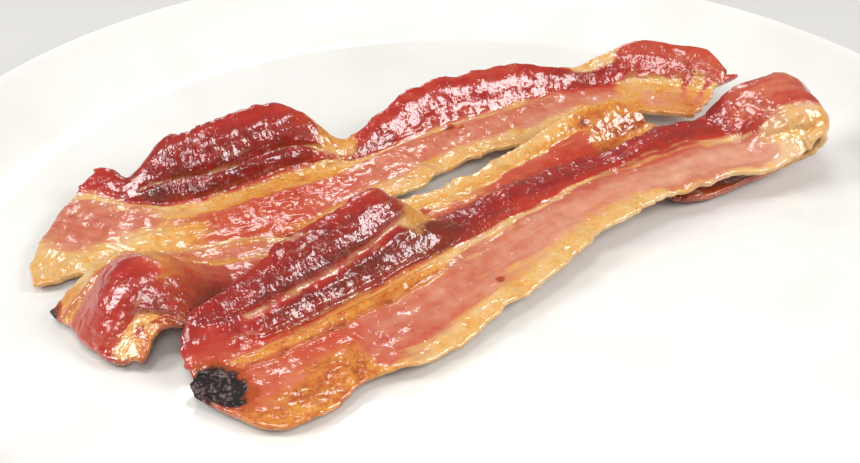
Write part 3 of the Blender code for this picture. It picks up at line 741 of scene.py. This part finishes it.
friedLook = {
    "lean": ((0.0, "#c6987f"), (0.15, "#b98069"), (0.25, "#b06852"), (0.36, "#a64736"),
             (0.50, "#9c1f19"), (0.68, "#7a0e10"), (0.86, "#52070a"), (1.0, "#300406")),
    "fat": ((0.0, "#c9a68a"), (0.28, "#c69e62"), (0.5, "#c08236"), (0.7, "#a85520"),
            (0.86, "#7a3612"), (1.0, "#3d1807")),
    "orange": "#c05c26",
    # the grey flecks on the char are partly ash, partly painted sheen
    "char": "#150a09", "ash_and_sheen": "#645250", "scorch": "#9a3d10",
    "crinkleMm": 1.9,    # puckered skin
    "fleckMm": 0.75,     # specks in the crust
    "beadMm": 1.2,       # beads of fat standing on the skin
    "blotchMm": 4.0,     # uneven colour
    "patchMm": 7.5,      # how far apart the puckered patches lie
    "bumpMm": 0.5,       # depth of the finest relief
    "calm": 0.2,         # how strong it is on the palest lean
    "bump": 0.65,        # and how much stronger on the darkest
    "meat": 0.34,        # roughness of the meat under the fat
    "film": 0.9,         # how much fat lies over it
    "even": {"IOR": 1.42, "Specular IOR Level": 0.3, "Subsurface Weight": 0.35,
             "Subsurface Radius": (1.0, 0.35, 0.2), "Subsurface Scale": 1.6 * mm,
             "Coat Roughness": 0.08, "Coat IOR": 1.6},
}


def friedBacon(name, look):
    # Fried streaky bacon, pan-fried: translucent cured meat under a film of hot fat, so the lean
    # glows red inside, the fat goes from cream to gold, and the wet skin throws small glints.
    material, tree, shader = newMaterial(name, look["even"])
    cut = addNode(tree, "Attribute", {"attribute_name": "cut"})
    split = addNode(tree, "SeparateColor", inputs={"Color": cut.outputs["Color"]})
    fat, dark, gold, burnt = split.outputs[0], split.outputs[1], split.outputs[2], cut.outputs["Alpha"]
    grain = addNode(tree, "UVMap", {"uv_map": "grain"})
    place = addNode(tree, "TexCoord")
    turned = addNode(tree, "Mapping", inputs={
        "Vector": grain.outputs["UV"], "Rotation": (0.0, 0.0, 0.5), "Scale": (1.0, 0.55, 1.0)})
    drawn = addNode(tree, "Mapping", inputs={
        "Vector": grain.outputs["UV"], "Scale": (0.8, 5.5, 1.0)})
    pattern = {}
    for key, vector, scale, detail in (
            ("crinkle", turned.outputs[0], 10.0 / look["crinkleMm"], 2.5),
            ("streak", drawn.outputs[0], 1.0, 3.0),
            ("blotch", place.outputs["Object"], 1000.0 / look["blotchMm"], 2.5),
            ("fleck", place.outputs["Object"], 1000.0 / look["fleckMm"], 2.0),
            ("patch", place.outputs["Object"], 1000.0 / look["patchMm"], 1.0)):
        pattern[key] = addNode(tree, "TexNoise", inputs={
            "Vector": vector, "Scale": scale, "Detail": detail, "Roughness": 0.5}).outputs[0]

    # each value wanders around its base by the patterns named beside it
    tone = {}
    for key, base, sways in (
            ("edge", fat, (("streak", 0.55), ("blotch", 0.5), ("fleck", 0.2))),
            ("lean", dark, (("crinkle", 0.1), ("blotch", 0.3), ("streak", 0.24))),
            ("fat", gold, (("blotch", 0.6), ("fleck", 0.4), ("streak", 0.2))),
            ("burnt", burnt, (("fleck", 0.35),)),
            ("ash_and_sheen", pattern["fleck"], (("blotch", 0.6),))):
        value = base
        for kind, amount in sways:
            value = addNode(tree, "Math", timesPlus, {
                0: pattern[kind], 1: amount, 2: value}).outputs[0]
        tone[key] = addNode(tree, "Math", {"operation": "SUBTRACT"},
                            {0: value, 1: 0.5 * sum(amount for kind, amount in sways)}).outputs[0]
    share = {}
    for key, value, low, high in (
            ("fat", tone["edge"], 0.27, 0.73), ("scorched", tone["burnt"], 0.02, 0.34),
            ("charred", tone["burnt"], 0.4, 0.84), ("ash_and_sheen", tone["ash_and_sheen"], 0.5, 0.76),
            ("pucker", pattern["patch"], 0.36, 0.62)):
        share[key] = addNode(tree, "MapRange", softStep,
                             {"Value": value, "From Min": low, "From Max": high}).outputs[0]
    share["warm"] = addNode(tree, "Math", times, {0: gold, 1: 0.5}).outputs[0]

    colour = addNode(tree, "ValToRGB", inputs={0: tone["lean"]}, stops=look["lean"]).outputs[0]
    fatColour = addNode(tree, "ValToRGB", inputs={0: tone["fat"]}, stops=look["fat"]).outputs[0]
    # char mottled with grey flecks: partly ash, partly painted sheen on the char
    crust = addNode(tree, "Mix", mixColour, {
        0: share["ash_and_sheen"], 6: linear(look["char"]), 7: linear(look["ash_and_sheen"])}).outputs[2]
    for key, over in (("warm", linear(look["orange"])), ("fat", fatColour),
                      ("scorched", linear(look["scorch"])), ("charred", crust)):
        colour = addNode(tree, "Mix", mixColour,
                         {0: share[key], 6: colour, 7: over}).outputs[2]
    tree.links.new(colour, shader.inputs["Base Color"])

    # char is dry and rough
    rough = addNode(tree, "Math", timesPlus,
                    {0: share["charred"], 1: 0.35, 2: look["meat"] - 0.12})
    rough = addNode(tree, "Math", timesPlus,
                    {0: pattern["blotch"], 1: 0.24, 2: rough.outputs[0]})
    film = addNode(tree, "Math", timesPlus,
                   {0: share["charred"], 1: 0.1 - look["film"], 2: look["film"]})
    # the skin is puckered in patches, and more so where it is dark
    patchy = addNode(tree, "Math", timesPlus, {0: share["pucker"], 1: 0.6, 2: 0.45})
    deeper = addNode(tree, "Math", timesPlus, {0: dark, 1: 2.2, 2: -0.1})
    amount = addNode(tree, "Math", times, {0: patchy.outputs[0], 1: deeper.outputs[0]})
    relief = addNode(tree, "Math", times, {0: pattern["crinkle"], 1: amount.outputs[0]})
    # beads of fat: one in every few cells stands up as a small dome
    cells = addNode(tree, "TexVoronoi", inputs={
        "Vector": place.outputs["Object"], "Scale": 1000.0 / look["beadMm"]})
    lot = addNode(tree, "SeparateColor", inputs={"Color": cells.outputs["Color"]})
    for value, low, high in ((cells.outputs["Distance"], 0.42, 0.05), (lot.outputs[0], 0.5, 0.9)):
        dome = addNode(tree, "MapRange", softStep,
                       {"Value": value, "From Min": low, "From Max": high})
        pattern["bead"] = addNode(tree, "Math", times, {
            0: dome.outputs[0], 1: pattern.get("bead", 1.0)}).outputs[0]
    for kind, height in (("streak", 0.3), ("fleck", 0.3), ("bead", 0.45)):
        relief = addNode(tree, "Math", timesPlus,
                         {0: pattern[kind], 1: height, 2: relief.outputs[0]})
    # pale lean is smoother than dark
    strength = addNode(tree, "Math", timesPlus, {0: dark, 1: look["bump"], 2: look["calm"]})
    bump = addNode(tree, "Bump", inputs={
        "Height": relief.outputs[0], "Strength": strength.outputs[0], "Distance": look["bumpMm"] * mm})
    for node, socket in ((rough, "Roughness"), (film, "Coat Weight"),
                         (bump, "Normal"), (bump, "Coat Normal")):
        tree.links.new(node.outputs[0], shader.inputs[socket])
    return material


glaze = {
    "white": ((0.2, "#d2d0ca"), (0.5, "#d8d6d1"), (0.8, "#d4d1cb")),
    "bare": ((0.3, "#d9d3c7"), (0.7, "#e9e4da")),
    "waveMm": 22.2,      # slow unevenness of the glaze
    "speckMm": 1.11,     # faint specks in it
    "gritMm": 0.556,     # grain of the bare foot ring
    "even": {"IOR": 1.5, "Coat Weight": 0.4, "Coat Roughness": 0.03},
}


def glazedPorcelain(look):
    # White porcelain, glazed and fired: a clear glassy coat over a warm white body, so that it
    # shines softly, with very slow waves in the glaze and faint specks.
    material, tree, shader = newMaterial("glazedPorcelain", look["even"])
    place = addNode(tree, "TexCoord")
    wave = addNode(tree, "TexNoise", inputs={
        "Vector": place.outputs["Object"], "Scale": 1000.0 / look["waveMm"], "Detail": 1.0}).outputs[0]
    speck = addNode(tree, "TexNoise", inputs={
        "Vector": place.outputs["Object"], "Scale": 1000.0 / look["speckMm"], "Detail": 1.0}).outputs[0]
    faint = addNode(tree, "Math", times, {0: speck, 1: 0.12}).outputs[0]
    tone = addNode(tree, "Math", timesPlus, {0: wave, 1: 0.7, 2: faint})
    colour = addNode(tree, "ValToRGB", inputs={0: tone.outputs[0]}, stops=look["white"])
    tree.links.new(colour.outputs[0], shader.inputs["Base Color"])
    rough = addNode(tree, "Math", timesPlus, {0: wave, 1: 0.08, 2: 0.08})
    tree.links.new(rough.outputs[0], shader.inputs["Roughness"])
    bump = addNode(tree, "Bump", inputs={"Height": wave, "Strength": 0.15, "Distance": 0.3 * mm})
    tree.links.new(bump.outputs[0], shader.inputs["Normal"])
    return material


def unglazedFoot(look):
    # The foot ring, wiped clean of glaze before firing: bare biscuit porcelain, matt and gritty.
    material, tree, shader = newMaterial("unglazedFoot", {"Roughness": 0.8})
    place = addNode(tree, "TexCoord")
    grit = addNode(tree, "TexNoise", inputs={
        "Vector": place.outputs["Object"], "Scale": 1000.0 / look["gritMm"], "Detail": 3.0}).outputs[0]
    colour = addNode(tree, "ValToRGB", inputs={0: grit}, stops=look["bare"])
    tree.links.new(colour.outputs[0], shader.inputs["Base Color"])
    bump = addNode(tree, "Bump", inputs={"Height": grit, "Strength": 0.4, "Distance": 0.15 * mm})
    tree.links.new(bump.outputs[0], shader.inputs["Normal"])
    return material


plate = {
    "radius": 140.0, "rim": 20.5,
    "flat": 113.0,       # radius where the rim starts to rise
    "body": 4.6,         # thickness of the flat
    "footOuter": 88.0, "footInner": 83.0,
    # the lip: how far in from the edge, and how far down from the top of the rim
    "lip": ((1.1, 0.08), (0.7, 0.05), (0.3, 0.3), (0.0, 0.9), (0.05, 1.5), (0.4, 2.0)),
    "steps": 180,
}


def plateLine():
    # half section from the middle of the top, over the lip, to the middle underneath, in mm
    edge, rim, flat, under = plate["radius"], plate["rim"], plate["flat"], plateTop - plate["body"]
    line = [(0.0, plateTop), (flat * 0.35, plateTop), (flat * 0.7, plateTop)]
    for k in range(17):
        t = k / 16.0
        line.append((flat + (edge - 1.6 - flat) * t, plateTop + (rim - plateTop - 0.3) * t ** 1.7))
    line += [(edge - inward, rim - down) for inward, down in plate["lip"]]
    for k in range(12):
        t = 1.0 - (k + 0.4) / 12.4
        line.append((plate["footOuter"] + 6.0 + (edge - 7.5 - plate["footOuter"]) * t,
                     under + (rim - 3.2 - under) * t ** 1.9))
    outer, inner = plate["footOuter"], plate["footInner"]
    line += [(outer + 2.2, under + 0.02), (outer + 1.0, under - 0.5), (outer + 0.2, under - 1.6),
             (outer - 0.1, 0.25), (outer - 0.6, 0.0), (inner + 0.6, 0.0), (inner + 0.1, 0.25),
             (inner - 0.2, under - 1.6), (inner - 1.0, under - 0.5), (inner - 2.2, under), (0.0, under)]
    return line


def plateObject():
    bm = bmesh.new()
    line = [bm.verts.new((r * mm, 0.0, z * mm)) for r, z in plateLine()]
    edges = [bm.edges.new(pair) for pair in zip(line, line[1:])]
    bmesh.ops.spin(bm, geom=line + edges, axis=(0.0, 0.0, 1.0), cent=(0.0, 0.0, 0.0),
                   angle=2.0 * math.pi, steps=plate["steps"], use_merge=True)
    bmesh.ops.remove_doubles(bm, verts=bm.verts[:], dist=0.00001)
    bmesh.ops.recalc_face_normals(bm, faces=bm.faces[:])
    for face in bm.faces:
        if all(vert.co.z < 0.3 * mm for vert in face.verts):
            face.material_index = 1   # the ring it stands on
    mesh = bpy.data.meshes.new("plate_glazed")
    bm.to_mesh(mesh)
    bm.free()
    mesh.shade_smooth()
    return addObject("plate_glazed", mesh)


dish = plateObject()
dish.data.materials.append(glazedPorcelain(glaze))
dish.data.materials.append(unglazedFoot(glaze))
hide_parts("plate")
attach(dish, "root")
print("plate made")

strips = (backStrip, middleStrip, frontStrip)
lifts = settledLifts(strips)
pile = []
for strip, lift in zip(strips, lifts):
    upper, lower, fields, along, across = fineFaces(strip, lift)
    restOn(upper, lower, coverMap(pile, mapCell))
    pile += [upper.reshape(-1, 3), lower.reshape(-1, 3)]
    body = stripObject(strip, upper, lower, fields, along, across)
    body.data.materials.append(friedBacon(strip["slot"] + "_fried", friedLook))
    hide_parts(strip["node"])
    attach(body, "root")
    print(strip["node"], "made")

studio = {
    "floor": "#c3c1bd",
    "world": 0.2,        # light from all around
    "key": {"at": (-0.16, -0.10, 0.96), "size": 0.32, "power": 3.2},
    "right": {"at": (0.70, -0.16, 0.51), "size": 0.38, "power": 5.8},
    "left": {"at": (-0.67, -0.13, 0.54), "size": 0.35, "power": 4.8},
    "front": {"at": (0.06, -0.74, 0.67), "size": 0.35, "power": 4.0},
    "back": {"at": (-0.16, 0.96, 0.80), "size": 0.26, "power": 1.8},
    "look": (-0.006, -0.008, 0.015),   # what the camera looks at, how far down and from how far
    "tilt": 33.0, "reach": 0.32, "lens": 57.0,
}


def addLight(name, spec):
    lamp = bpy.data.lights.new(name, "AREA")
    lamp.size = spec["size"]
    lamp.energy = spec["power"]
    holder = addObject(name, lamp)
    holder.location = spec["at"]
    aim = Vector((0.0, 0.0, 0.01)) - Vector(spec["at"])
    holder.rotation_euler = aim.to_track_quat("-Z", "Y").to_euler()


floorMesh = bpy.data.meshes.new("floor")
bm = bmesh.new()
bmesh.ops.create_grid(bm, x_segments=1, y_segments=1, size=3.0)
bm.to_mesh(floorMesh)
bm.free()
paint = newMaterial("paleFloor", {"Base Color": linear(studio["floor"]), "Roughness": 0.6})[0]
floorMesh.materials.append(paint)
floor = addObject("floor", floorMesh)

for name in ("key", "right", "left", "front", "back"):
    addLight(name, studio[name])
world = bpy.data.worlds.new("studio")
world.use_nodes = True
world.node_tree.nodes["Background"].inputs[0].default_value = (1.0, 1.0, 1.0, 1.0)
world.node_tree.nodes["Background"].inputs[1].default_value = studio["world"]
bpy.context.scene.world = world
bpy.context.scene.view_settings.view_transform = "Standard"

lens = bpy.data.cameras.new("view")
lens.lens = studio["lens"]
camera = addObject("view", lens)
tilt = math.radians(studio["tilt"])
back = Vector((0.0, -math.cos(tilt), math.sin(tilt)))
camera.location = Vector(studio["look"]) + back * studio["reach"]
camera.rotation_euler = (math.radians(90.0) - tilt, 0.0, 0.0)
bpy.context.scene.camera = camera
print("floor, light and camera set")
